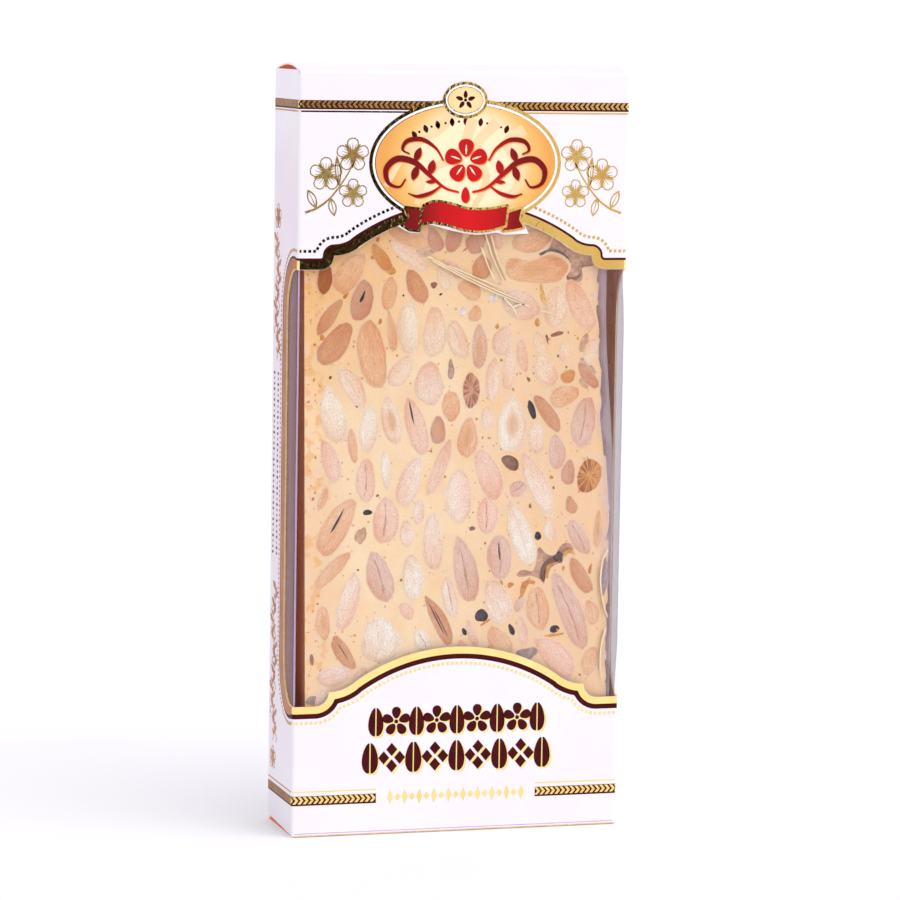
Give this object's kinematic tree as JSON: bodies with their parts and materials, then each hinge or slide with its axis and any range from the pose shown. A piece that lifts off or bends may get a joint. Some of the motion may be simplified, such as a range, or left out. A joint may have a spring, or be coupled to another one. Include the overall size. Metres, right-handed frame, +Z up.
{
  "type": "nougat bar in a windowed carton",
  "caption": "Slab of almond nougat in a clear wrap, standing in an upright folding carton whose window runs round both front folds.",
  "frame": {"origin": "middle of the flat base, on the surface the carton stands on", "axes": "+Z up the carton, -Y out of the windowed front, +X to the right of that front"},
  "size_m": [0.096, 0.0276, 0.2167],
  "materials": {
    "printed_board": "white clay-coated carton board with a soft gloss, brown inside, with gold and maroon print",
    "clear_film": "clear glossy window film",
    "clear_wrap": "clear creased wrapping film",
    "nougat": "cream nougat with cut almonds"
  },
  "bodies": {
    "root": {"carton": "printed_board", "window_film": "clear_film", "bar_wrap": "clear_wrap", "nougat_bar": "nougat"}
  },
  "joints": []
}
